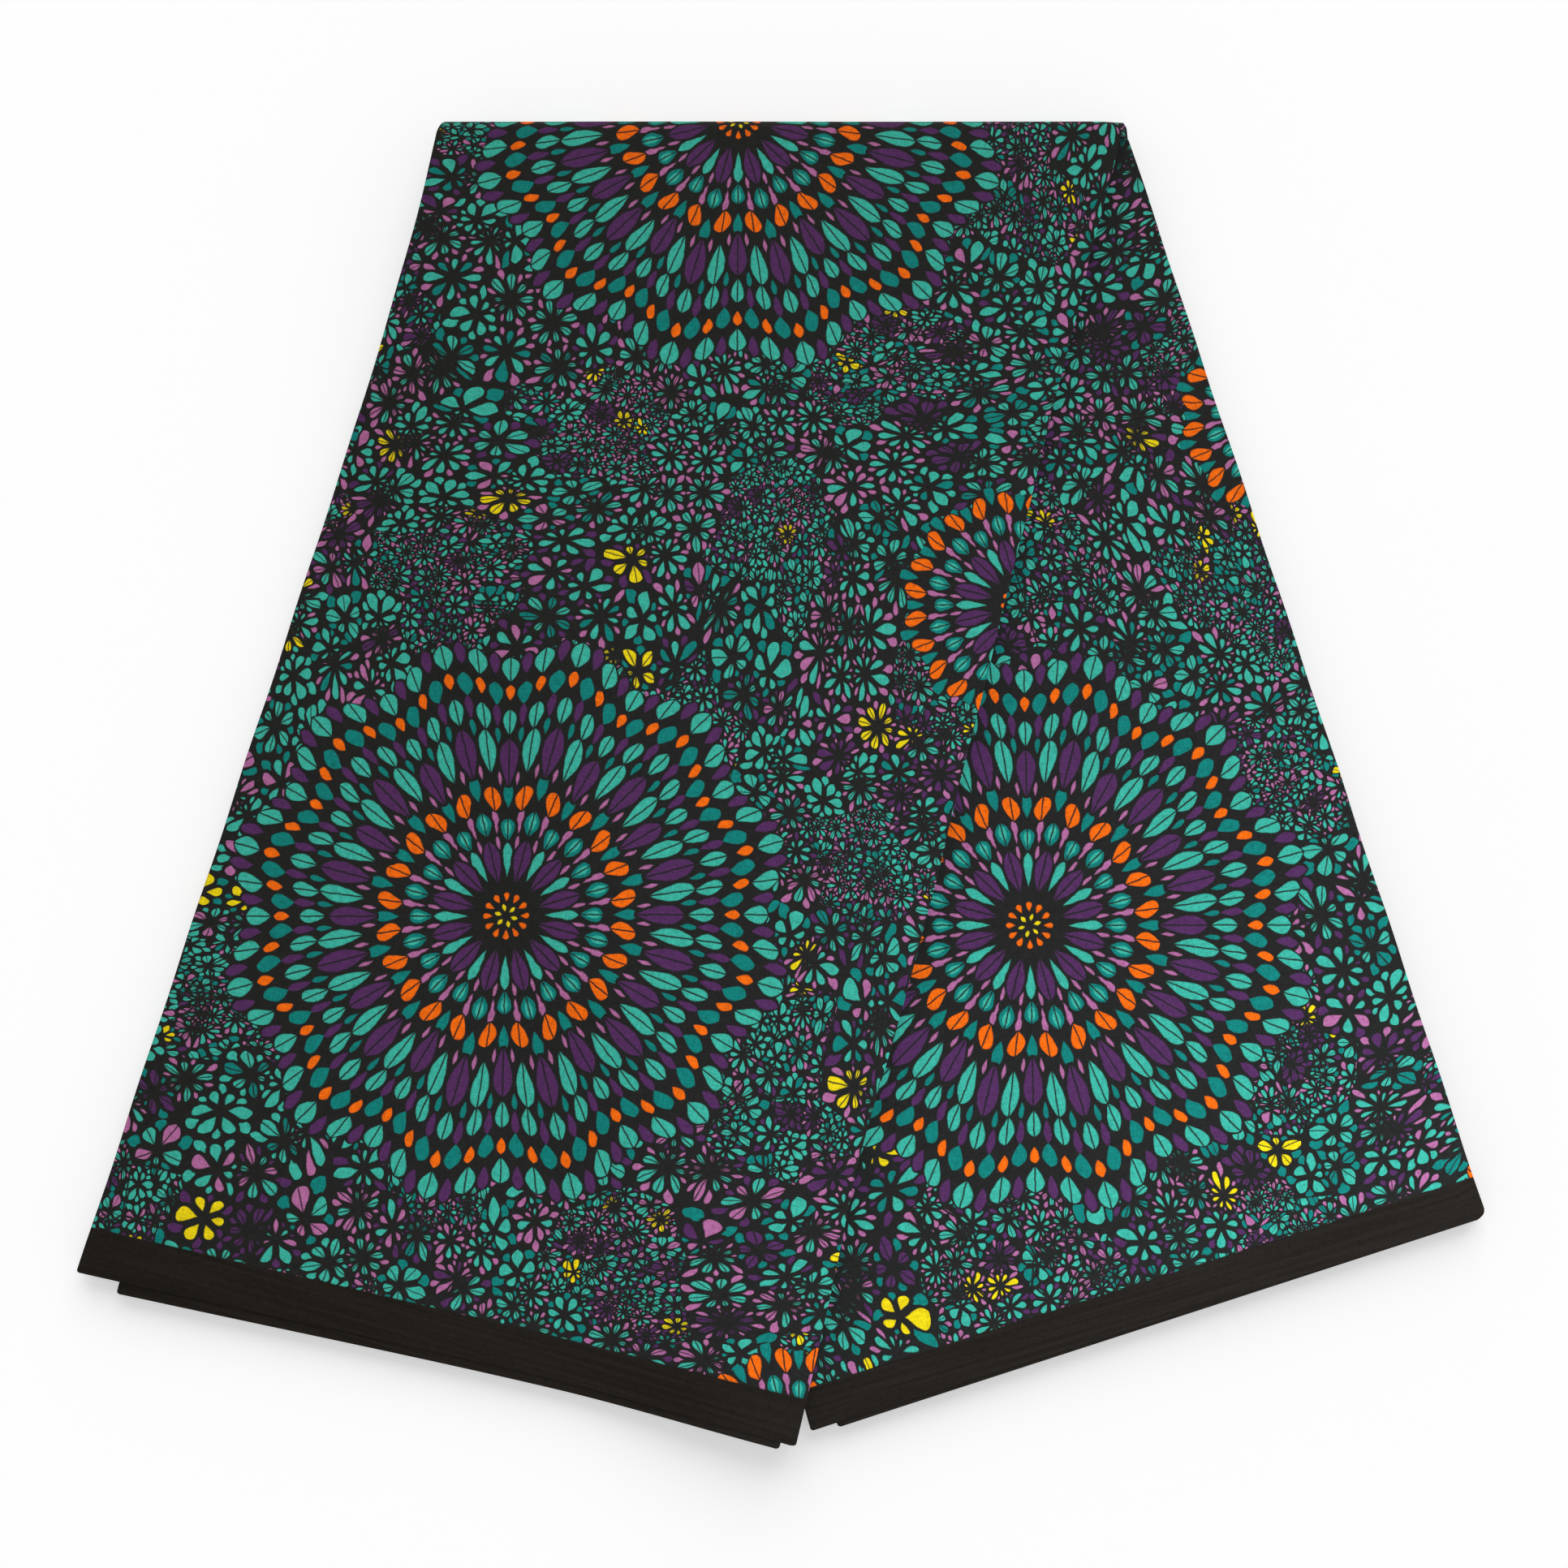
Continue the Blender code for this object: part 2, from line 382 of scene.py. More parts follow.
    def from_selvedge(self, row: Row, across: float) -> float:
        """How far a place lies from its leg's end.

        Args:
            row: The row.
            across: The place across it.

        Returns:
            The distance, in widths of the plain band at that end.
        """
        if row.stretch is Stretch.TURN:
            return self.well_inside
        distance = (1.0 - row.along) * self.leg_length(row.stretch, across)
        if row.stretch is Stretch.RIGHT:
            return distance / self.right_band
        return (distance + self.band_straightness * self.hollow(across)) / self.left_band

    def point(self, row: Row, across: float, radius: float, past_end: float, relief: Relief) -> ClothPoint:
        """A point of the folded strip.

        Args:
            row: The row.
            across: The place across it.
            radius: The cloth's radius.
            past_end: How far the point lies past the leg's end.
            relief: Gives how far the cloth lies outwards on a row, at a place on the flat cloth.

        Returns:
            The point, with its place on the flat cloth.
        """
        angle = math.pi * row.turned
        sine, cosine = math.sin(angle), math.cos(angle)
        plan = self.plan_place(row, across, past_end)
        laid_out = Vector((plan.x, radius * angle + plan.y * cosine))
        spread = Matrix.Rotation(self.mean_lean, 2) @ (laid_out - self.end_corner)
        radius += relief(row, spread)
        out, corner = radius * sine, self.corner_radius
        inset = corner_inset(corner, out + corner - self.middle_height)
        inset *= max(0.0, 1.0 - across / self.corner_reach)
        off = Vector((inset, out, radius * cosine - self.sag(row, plan)))
        return ClothPoint(plan.to_3d() + off + self.shift, spread, self.from_selvedge(row, across))


@dataclass(frozen=True)
class Crease:
    """A soft ridge, or a trough where the height is negative, between two places on a panel."""

    start: tuple[float, float]
    end: tuple[float, float]
    width: float
    height: float
    fade_widths: float = 3.0

    def lift(self, place: Vector) -> float:
        """How far the crease lifts the cloth.

        Args:
            place: The place on the panel.

        Returns:
            The height in metres.
        """
        run, off = Vector(self.end) - Vector(self.start), place - Vector(self.start)
        share = off.dot(run) / run.length_squared
        aside = abs(off.cross(run)) / run.length / self.width
        if not 0.0 < share < 1.0 or aside > self.fade_widths:
            return 0.0
        return self.height * math.sin(math.pi * share) * math.exp(-(aside**2))


@dataclass(frozen=True)
class Ripple:
    """A slow, even swell of the cloth that runs in one direction."""

    length: float
    heading: float
    phase: float
    height: float

    def lift(self, place: Vector) -> float:
        """How far the ripple lifts the cloth at a place on the panel."""
        way = place.x * math.cos(self.heading) + place.y * math.sin(self.heading)
        return self.height * math.sin(2 * math.pi * way / self.length + self.phase)


class NodeBench:
    """Adds nodes to the tree of a material or a world, and links them.

    The sockets of a Mix node, for its factor and both values, have places that differ with the kind
    of value.
    """

    colour_sockets: tuple[int, int, int] = (0, 6, 7)
    colour_output: int = 2
    number_sockets: tuple[int, int, int] = (0, 2, 3)
    new_ramp_stops: int = 2

    def __init__(self, owner: bpy.types.Material | bpy.types.World, shader: str = "Principled BSDF") -> None:
        """Turns the owner's nodes on and finds the shader that they feed.

        Args:
            owner: The material or the world.
            shader: The shader's name.
        """
        owner.use_nodes = True
        self.owner = owner
        self.tree = owner.node_tree
        self.shader = self.tree.nodes[shader]

    def node(self, kind: str, settings: dict | None = None, values: dict | None = None) -> Node:
        """Adds one node.

        Args:
            kind: The node's type.
            settings: The node's own properties, set first. A ramp takes its "interpolation", and
                "stops" as a list of places and colours.
            values: Numbers, colours or links for its inputs, by name or number.

        Returns:
            The new node.
        """
        made = self.tree.nodes.new(kind)
        settings = dict(settings or {})
        stops = settings.pop("stops", ())
        owner = made.color_ramp if stops else made
        for name, setting in settings.items():
            setattr(owner, name, setting)
        for _ in stops[self.new_ramp_stops :]:
            owner.elements.new(1.0)
        for index, stop in enumerate(stops):
            element = owner.elements[index]
            element.position, element.color = stop
        self.feed(made, values or {})
        return made

    def feed(self, node: Node, values: dict) -> None:
        """Sets or links the inputs of a node.

        Args:
            node: The node.
            values: Numbers, colours or links, by the name or number of the input.
        """
        for key, value in values.items():
            value = value.socket if isinstance(value, Number) else value
            if isinstance(value, Socket):
                self.tree.links.new(value, node.inputs[key])
            else:
                node.inputs[key].default_value = value

    def blend(self, share: object, first: object, second: object) -> Socket:
        """The mix of two colours: the first where the share is 0 and the second where it is 1."""
        values = dict(zip(self.colour_sockets, (share, first, second)))
        return self.node("ShaderNodeMix", {"data_type": "RGBA"}, values).outputs[self.colour_output]

    def choose(self, share: object, first: object, second: object) -> "Number":
        """The mix of two numbers: the first where the share is 0 and the second where it is 1."""
        values = dict(zip(self.number_sockets, (share, first, second)))
        return Number(self, self.node("ShaderNodeMix", {"data_type": "FLOAT"}, values).outputs[0])

    def parts(self, kind: str, value: Socket) -> list["Number"]:
        """The three numbers of a value, whose kind is Color or XYZ."""
        made = self.node(f"ShaderNodeSeparate{kind}", values={0: value})
        return [Number(self, output) for output in made.outputs]


class Number:
    """A number that varies over a surface: a socket that takes part in sums."""

    def __init__(self, bench: NodeBench, socket: Socket) -> None:
        """Wraps a socket of the bench's tree."""
        self.bench = bench
        self.socket = socket

    def math(self, operation: str, *others: object, clamp: bool = False) -> "Number":
        """Adds one Math node.

        Args:
            operation: What the node does.
            others: The numbers that follow this one.
            clamp: Whether the result is kept between 0 and 1.

        Returns:
            The result.
        """
        settings = {"operation": operation, "use_clamp": clamp}
        made = self.bench.node("ShaderNodeMath", settings, dict(enumerate((self, *others))))
        return Number(self.bench, made.outputs[0])

    def __add__(self, other: object) -> "Number":
        """This number plus another."""
        return self.math("ADD", other)

    __radd__ = __add__

    def __sub__(self, other: object) -> "Number":
        """This number less another."""
        return self.math("SUBTRACT", other)

    def __rsub__(self, other: object) -> "Number":
        """Another less this number."""
        return self.scaled(-1.0, other)

    def __mul__(self, other: object) -> "Number":
        """This number times another."""
        return self.math("MULTIPLY", other)

    __rmul__ = __mul__

    def __truediv__(self, other: object) -> "Number":
        """This number over another."""
        return self.math("DIVIDE", other)

    def __lt__(self, other: object) -> "Number":
        """1 where this number is less than another, and 0 elsewhere."""
        return self.math("LESS_THAN", other)

    def __gt__(self, other: object) -> "Number":
        """1 where this number is more than another, and 0 elsewhere."""
        return self.math("GREATER_THAN", other)

    def scaled(self, factor: float, offset: object) -> "Number":
        """This number times a factor, plus an offset, in one node."""
        return self.math("MULTIPLY_ADD", factor, offset)

    def above(self, level: float, softness: float) -> "Number":
        """0 below the level and 1 above it, with a straight soft step between."""
        return self.math("MULTIPLY_ADD", 1 / softness, 0.5 - level / softness, clamp=True)


@dataclass(frozen=True)
class PetalRing:
    """One ring of petals round a bloom, between two radii.

    width is a petal's greatest half width and turn is how far the ring is turned, both as shares of
    the pitch from petal to petal. vein is the half width of the dark line down a petal's middle.
    heart is the colour inside the rim, where it isn't the fill.
    """

    inner: float
    outer: float
    count: int
    width: float
    turn: float
    fill: Tint
    vein: float = 0.0
    heart: Tint | None = None


FINE_VEIN = 0.00035
FRONT_RINGS = (
    PetalRing(0.0010, 0.0052, 6, 0.36, 0.0, Tint.YELLOW),
    PetalRing(0.0058, 0.0112, 12, 0.36, 0.5, Tint.ORANGE),
    PetalRing(0.0122, 0.0330, 12, 0.31, 0.0, Tint.PURPLE, FINE_VEIN),
    PetalRing(0.0340, 0.0455, 24, 0.35, 0.0, Tint.DEEP_TEAL, FINE_VEIN, Tint.TEAL),
    PetalRing(0.0465, 0.0582, 24, 0.30, 0.5, Tint.ORANGE, FINE_VEIN),
    PetalRing(0.0592, 0.0830, 24, 0.25, 0.0, Tint.PURPLE, FINE_VEIN),
    PetalRing(0.0838, 0.0968, 48, 0.30, 0.0, Tint.TEAL, FINE_VEIN),
    PetalRing(0.0976, 0.1088, 48, 0.28, 0.5, Tint.DEEP_TEAL),
    PetalRing(0.1094, 0.1215, 48, 0.30, 0.0, Tint.TEAL, FINE_VEIN),
)
BACK_RINGS = (
    PetalRing(0.0165, 0.0345, 12, 0.18, 0.5, Tint.TEAL),
    PetalRing(0.0355, 0.0488, 24, 0.17, 0.5, Tint.LILAC),
    PetalRing(0.0495, 0.0620, 24, 0.19, 0.0, Tint.DEEP_TEAL),
    PetalRing(0.0632, 0.0845, 24, 0.21, 0.5, Tint.TEAL, FINE_VEIN),
    PetalRing(0.0868, 0.0985, 48, 0.19, 0.5, Tint.PURPLE),
    PetalRing(0.1005, 0.1085, 48, 0.19, 0.0, Tint.ORANGE),
    PetalRing(0.1118, 0.1228, 48, 0.19, 0.5, Tint.PURPLE),
)
FILLING_RINGS = (
    PetalRing(0.0250, 0.0370, 24, 0.16, 0.5, Tint.LILAC),
    PetalRing(0.0490, 0.0570, 48, 0.16, 0.0, Tint.TEAL),
    PetalRing(0.0590, 0.0670, 48, 0.17, 0.5, Tint.LILAC),
    PetalRing(0.0790, 0.0880, 48, 0.16, 0.5, Tint.DEEP_TEAL),
)


@dataclass(frozen=True)
class BloomField:
    """Large blooms on a straight grid, with small ones, of the inner rings alone, between them.

    pitches and starts are the grid's steps and its first bloom, across and up. Within the ground's
    reach no small flowers lie between the petals. The ramps that hold the rings tell reaches, petal
    counts and veins as shares of span, most_petals and longest_vein.
    """

    pitches: tuple[float, float] = (0.372, 0.390)
    starts: tuple[float, float] = (0.135, 0.195)
    ground_reach: float = 0.1155
    small_scale: float = 0.92
    small_reach: float = 0.0590
    small_ground_reach: float = 0.0520
    span: float = 0.1280
    most_petals: float = 64.0
    longest_vein: float = 0.001
    lobes: int = 12
    lobe_depth: float = 0.045
    gap: float = 0.00060
    outline: float = 0.00090
    rim: float = 0.0022
    rim_shade: float = 0.80
    rim_shade_depth: float = 0.0014
    softness: float = 0.00045
    tip_power: float = 0.80
    tip_margin: float = 1.06
    drop_share: float = 0.30
    rings: tuple[tuple[PetalRing, ...], ...] = (FILLING_RINGS, BACK_RINGS, FRONT_RINGS)


@dataclass(frozen=True)
class Swell:
    """Two slow waves over the cloth that cross at a slant, the second one at its own pace."""

    length: float
    phases: tuple[float, float]
    pace: float = 1.0
    slopes: tuple[float, float] = (0.6, 0.5)

    def waves(self, across: Number, up: Number) -> tuple[Number, Number]:
        """Both waves at a place on the cloth.

        Args:
            across: The place across it.
            up: The place up it.

        Returns:
            Two numbers from -1 to 1.
        """
        wave = 2 * math.pi / self.length
        first = (across + up * self.slopes[0]).scaled(wave, self.phases[0])
        second = (up - across * self.slopes[1]).scaled(wave * self.pace, self.phases[1])
        return first.math("SINE"), second.math("SINE")


@dataclass(frozen=True)
class FieldPetal:
    """The form of a small flower's petals, or of its leaves.

    middle and half_length are on a scale from 0 at the flower's centre to 1 at its cell's border,
    and width is the half width as a share of the pitch from petal to petal.
    """

    middle: float
    half_length: float
    width: float

    def along(self, out: Number) -> Number:
        """The place along the petal, from -1 to 1, of a place on that scale."""
        return out.scaled(1 / self.half_length, -self.middle / self.half_length)


@dataclass(frozen=True)
class FlowerField:
    """The small flowers between the blooms: one flower to a cell of an uneven net.

    Zones of the net are drawn finer than the rest. Each cell has random numbers from 0 to 1, and
    the lists of tints say from which number on a tint holds.
    """

    cells_per_metre: float = 57.0
    unevenness: float = 0.88
    drift: float = 0.0080
    drift_swell: Swell = Swell(0.230, (0.7, 2.1), 1.13)
    zone_swell: Swell = Swell(0.170, (1.0, 0.4))
    zone_level: float = 0.22
    zone_fineness: float = 0.80
    fewest_petals: float = 5.0
    petal_range: float = 3.8
    petal: FieldPetal = FieldPetal(0.50, 0.335, 0.40)
    leaf: FieldPetal = FieldPetal(0.80, 0.19, 0.24)
    gap: float = 0.00082
    outline: float = 0.00070
    softness: float = 0.00040
    vein: float = 0.00026
    veined_share: float = 0.50
    tip_power: float = 0.42
    drop_share: float = 0.10
    even_petals: Tints = (
        (0.0, Tint.TEAL),
        (0.70, Tint.DEEP_TEAL),
        (0.77, Tint.LILAC),
        (0.88, Tint.PURPLE),
        (0.957, Tint.YELLOW),
    )
    odd_petals: Tints = (
        (0.0, Tint.TEAL),
        (0.37, Tint.LILAC),
        (0.46, Tint.DEEP_TEAL),
        (0.54, Tint.TEAL),
        (0.87, Tint.PURPLE),
        (0.957, Tint.YELLOW),
    )
    leaves: Tints = (
        (0.0, Tint.DEEP_TEAL),
        (0.20, Tint.TEAL),
        (0.34, Tint.PURPLE),
        (0.56, Tint.LILAC),
    )


class PrintedCotton:
    """The printed cloth: motifs on a near-black ground, plain dark bands along the selvedges."""

    waver_fineness: tuple[float, float] = (260.0, 260.0)
    waver_reach: float = 0.0003
    band_streaks: tuple[float, float] = (14.0, 620.0)
    streak_softness: float = 0.45
    band_softness: float = 0.03
    yarn_fineness: tuple[float, float] = (260.0, 1900.0)
    speck_depth: float = 0.9
    roughness: float = 0.85
    gloss: float = 0.10
    sheen: float = 0.02
    sheen_roughness: float = 0.4
    weave_strength: float = 0.3
    weave_depth: float = 0.0002

    def __init__(self, name: str, blooms: BloomField, flowers: FlowerField) -> None:
        """Makes the material.

        Args:
            name: The material's name.
            blooms: The sizes of the large motifs.
            flowers: The sizes of the small ones.
        """
        bench = NodeBench(bpy.data.materials.new(name))
        self.bench = bench
        self.blooms = blooms
        self.flowers = flowers
        self.place = bench.node("ShaderNodeAttribute", {"attribute_name": CLOTH_PLACE}).outputs["Vector"]
        across, up, self.from_selvedge = bench.parts("XYZ", self.place)
        self.print_across, self.print_up = self.wavered(across, up)
        self.dress(self.band_over(self.bloom_ink(self.flower_ink())))

    @property
    def material(self) -> bpy.types.Material:
        """The finished material."""
        return self.bench.owner

    def wavered(self, *ways: Number) -> list[Number]:
        """Moves the print's edges a fraction of a millimetre here and there, as if cut by hand.

        Args:
            ways: The ways across and up the cloth.

        Returns:
            The moved ways.
        """
        reach, noise = self.waver_reach, self.noise(self.waver_fineness, 1.0)
        shifts = self.bench.parts("Color", noise.outputs["Color"])
        return [way + shift.scaled(2 * reach, -reach) for way, shift in zip(ways, shifts)]

    def noise(self, fineness: tuple[float, float], detail: float) -> Node:
        """Adds noise over the flat cloth, which is about 0.5 on average.

        Args:
            fineness: How fine it is across and up, as spots to a metre.
            detail: How many finer layers it has.

        Returns:
            The noise's node.
        """
        values = {0: self.place, 1: (*fineness, 0.0)}
        place = self.bench.node("ShaderNodeVectorMath", {"operation": "MULTIPLY"}, values)
        values = {"Vector": place.outputs[0], "Scale": 1.0, "Detail": detail}
        return self.bench.node("ShaderNodeTexNoise", {"noise_dimensions": "2D"}, values)

    def steps(self, stops: list[tuple[float, Colour]], spot: Number) -> Node:
        """A ramp that holds each stop's colour up to the next stop."""
        settings = {"interpolation": "CONSTANT", "stops": stops}
        return self.bench.node("ShaderNodeValToRGB", settings, {0: spot})

    def tint_at(self, tints: Tints, spot: Number) -> Socket:
        """The tint that holds at a spot."""
        return self.steps([(start, tint.value) for start, tint in tints], spot).outputs[0]

    @staticmethod
    def petal_depth(
        aside: Number, along: Number, width: object, pitch: Number, shape: BloomField | FlowerField
    ) -> Number:
        """How far inside a round-tipped petal a point lies.

        Args:
            aside: The distance from the petal's middle line, as a share of the pitch.
            along: The place along the petal, from -1 to 1.
            width: The petal's greatest half width, as a share of the pitch.
            pitch: The distance from petal to petal at this reach, in metres.
            shape: Gives the power that rounds the tips, and how much wider a petal's outer half is.

        Returns:
            The depth in metres, below 0 outside the petal.
        """
        profile = (1.0 - along * along).math("MAXIMUM", 0.0).math("POWER", shape.tip_power)
        half_width = profile * along.scaled(shape.drop_share, 1.0) * width
        return (half_width - aside) * pitch

    def flower_net(self, across: Number, up: Number) -> tuple[Socket, Node, Number]:
        """The uneven net of cells that holds one flower each.

        Args:
            across: The place across the cloth.
            up: The place up it.

        Returns:
            The place as one vector, the node that tells of its cell, and the distance to the border.
        """
        bench, sizes = self.bench, self.flowers
        place = bench.node("ShaderNodeCombineXYZ", values={0: across, 1: up}).outputs[0]
        values = {"Vector": place, "Scale": sizes.cells_per_metre, "Randomness": sizes.unevenness}
        cell, border = (
            bench.node("ShaderNodeTexVoronoi", {"voronoi_dimensions": "2D", "feature": feature}, values)
            for feature in ("F1", "DISTANCE_TO_EDGE")
        )
        return place, cell, Number(bench, border.outputs["Distance"]) / sizes.cells_per_metre

    def flower_ink(self) -> Socket:
        """Draws the small flowers, each in its cell, with leaves between its petals' tips.

        Returns:
            The socket of their colour and the ground's.
        """
        bench, sizes = self.bench, self.flowers
        bends = sizes.drift_swell.waves(self.print_across, self.print_up)
        across = self.print_across + bends[0] * sizes.drift
        up = self.print_up + bends[1] * sizes.drift
        _, cell, to_border = self.flower_net(across, up)
        zone, counter_zone = sizes.zone_swell.waves(*bench.parts("XYZ", cell.outputs["Position"])[:2])
        in_zone = zone * counter_zone > sizes.zone_level
        in_place = to_border.above(sizes.gap / 2, sizes.softness).math("MAXIMUM", 1.0 - in_zone)
        fineness = in_zone.scaled(sizes.zone_fineness, 1.0)
        place, cell, to_border = self.flower_net(across * fineness, up * fineness)
        values = {0: place, 1: cell.outputs["Position"]}
        off = bench.node("ShaderNodeVectorMath", {"operation": "SUBTRACT"}, values).outputs[0]
        length = bench.node("ShaderNodeVectorMath", {"operation": "LENGTH"}, {0: off})
        reach = Number(bench, length.outputs["Value"])
        off_across, off_up, _ = bench.parts("XYZ", off)
        hue, size, spin = bench.parts("Color", cell.outputs["Color"])
        petals = size.scaled(sizes.petal_range, sizes.fewest_petals).math("ROUND")
        turned = off_up.math("ARCTAN2", off_across) / (2 * math.pi) * petals + spin
        aside = turned.math("PINGPONG", 0.5)
        out = reach / (reach + to_border)
        pitch = reach * (2 * math.pi) / petals
        along = sizes.petal.along(out)
        depth = self.petal_depth(aside, along, sizes.petal.width, pitch, sizes)
        clear = depth.above(-sizes.outline, sizes.softness) * (along.math("ABSOLUTE") < 1.0)
        veined = (aside * pitch).above(sizes.vein, sizes.softness)
        petal = depth.above(sizes.gap, sizes.softness) * in_place
        petal = petal * veined.math("MAXIMUM", spin > sizes.veined_share)
        depth = self.petal_depth(0.5 - aside, sizes.leaf.along(out), sizes.leaf.width, pitch, sizes)
        leaf = depth.above(sizes.gap, sizes.softness) * in_place
        odd = (turned.math("ROUND").math("WRAP", petals, 0.0) * 0.5).math("FRACT") * 2.0
        even_tint, odd_tint = (self.tint_at(tints, hue) for tints in (sizes.even_petals, sizes.odd_petals))
        ink = bench.blend(leaf, Tint.GROUND.value, self.tint_at(sizes.leaves, size))
        ink = bench.blend(clear, ink, Tint.GROUND.value)
        return bench.blend(petal, ink, bench.blend(odd, even_tint, odd_tint))

    def nearest_bloom(self, shift: float) -> tuple[Number, Number]:
        """The way to the nearest centre of a grid of blooms.

        Args:
            shift: How far the grid is moved, in half steps.

        Returns:
            The distance, made longer and shorter by the lobes, and the angle in turns.
        """
        sizes, offsets = self.blooms, []
        for way, pitch, start in zip((self.print_across, self.print_up), sizes.pitches, sizes.starts):
            half = pitch / 2
            offsets.append((way - (start + shift * half)).math("WRAP", half, -half))
        across, up = offsets
        angle = up.math("ARCTAN2", across)
        lobed = (angle * sizes.lobes).math("COSINE").scaled(sizes.lobe_depth, 1.0)
        return (across * across + up * up).math("SQRT") / lobed, angle / (2 * math.pi)

    def bloom_ink(self, ink: Socket) -> Socket:
        """Lays the blooms over the small flowers.

        Args:
            ink: The colour below them.

        Returns:
            The socket of the colour with the blooms.
        """
        bench, sizes = self.bench, self.blooms
        large_reach, large_turns = self.nearest_bloom(0.0)
        small_reach, small_turns = self.nearest_bloom(1.0)
        small_reach = small_reach / sizes.small_scale
        small_reach = small_reach + (small_reach > sizes.small_reach)
        is_small = small_reach < large_reach
        turns = bench.choose(is_small, large_turns, small_turns)
        reach = small_reach.math("MINIMUM", large_reach)
        ground_reach = bench.choose(is_small, sizes.ground_reach, sizes.small_ground_reach)
        inside = (ground_reach - reach).above(0.0, sizes.softness)
        ink = bench.blend(inside, ink, Tint.GROUND.value)
        for rings in sizes.rings:
            ink = self.ring_ink(rings, reach, turns, ink)
        return ink

    def ring_ink(self, rings: Sequence[PetalRing], reach: Number, turns: Number, ink: Socket) -> Socket:
        """Lays a set of petal rings, none within another, over what is below them.

        Each ring's sizes and colours are read from ramps over the reach, which hold a ring's
        values from its inner radius to the next ring's.

        Args:
            rings: The rings, from the inner one out.
            reach: The distance from the bloom's centre.
            turns: The angle round it, in turns.
            ink: The colour below.

        Returns:
            The socket of the colour with the rings.
        """
        bench, sizes = self.bench, self.blooms
        span, most, longest = sizes.span, sizes.most_petals, sizes.longest_vein
        form, fill, heart = [], [], []
        for ring in rings:
            place = ring.inner / span
            middle, half = (ring.outer + ring.inner) / 2 / span, (ring.outer - ring.inner) / 2 / span
            form.append((place, (middle, half, ring.count / most, ring.width)))
            fill.append((place, (*ring.fill.value[:3], ring.turn)))
            heart.append((place, (*(ring.heart or ring.fill).value[:3], ring.vein / longest)))
        spot = reach / span
        form_at, fill_at, heart_at = (self.steps(stops, spot) for stops in (form, fill, heart))
        middle, half, count = bench.parts("Color", form_at.outputs["Color"])
        count = count * most
        aside = (turns * count + Number(bench, fill_at.outputs["Alpha"])).math("PINGPONG", 0.5)
        along = (spot - middle) / half
        pitch = reach * (2 * math.pi) / count
        depth = self.petal_depth(aside, along, form_at.outputs["Alpha"], pitch, sizes)
        within_rim = depth.above(sizes.rim, sizes.softness)
        colour = bench.blend(within_rim, fill_at.outputs["Color"], heart_at.outputs["Color"])
        vein = Number(bench, heart_at.outputs["Alpha"]) * longest
        off_vein = (aside * pitch - vein).above(0.0, sizes.softness)
        whole = (vein * -1.0).above(-sizes.softness / 2, sizes.softness / 2)
        shade = depth.scaled((1.0 - sizes.rim_shade) / sizes.rim_shade_depth, sizes.rim_shade)
        shape = depth.above(sizes.gap, sizes.softness) * off_vein.math("MAXIMUM", whole)
        inked = bench.blend(shape * shade.math("MINIMUM", 1.0), Tint.GROUND.value, colour)
        covered = depth.above(-sizes.outline, sizes.softness) * (along.math("ABSOLUTE") < sizes.tip_margin)
        return bench.blend(covered, ink, inked)

    def band_over(self, ink: Socket) -> Socket:
        """Lays the plain dark bands over the print, streaked along the selvedge.

        Args:
            ink: The colour of the print.

        Returns:
            The socket of the colour with the bands.
        """
        noise = Number(self.bench, self.noise(self.band_streaks, 1.0).outputs[0])
        streaks = noise.above(0.5, self.streak_softness)
        band = self.bench.blend(streaks, Tint.BAND.value, Tint.BAND_STREAK.value)
        return self.bench.blend(self.from_selvedge.above(1.0, self.band_softness), band, ink)

    def dress(self, ink: Socket) -> None:
        """Feeds the surface: colour with the yarns' small specks, roughness and a fine weave.

        Args:
            ink: The colour of the print and the bands.
        """
        bench = self.bench
        yarns = [self.noise(way, 0.0).outputs[0] for way in (self.yarn_fineness, self.yarn_fineness[::-1])]
        weave = Number(bench, yarns[0]) + yarns[1]
        value = weave.scaled(self.speck_depth / 2, 1.0 - self.speck_depth / 2)
        tone = bench.node("ShaderNodeHueSaturation", values={"Value": value, "Color": ink})
        values = {"Strength": self.weave_strength, "Distance": self.weave_depth, "Height": weave * 0.5}
        bump = bench.node("ShaderNodeBump", values=values)
        surface = {
            "Base Color": tone.outputs[0],
            "Roughness": self.roughness,
            "Specular IOR Level": self.gloss,
            "Sheen Weight": self.sheen,
            "Sheen Roughness": self.sheen_roughness,
            "Normal": bump.outputs[0],
        }
        bench.feed(bench.shader, surface)


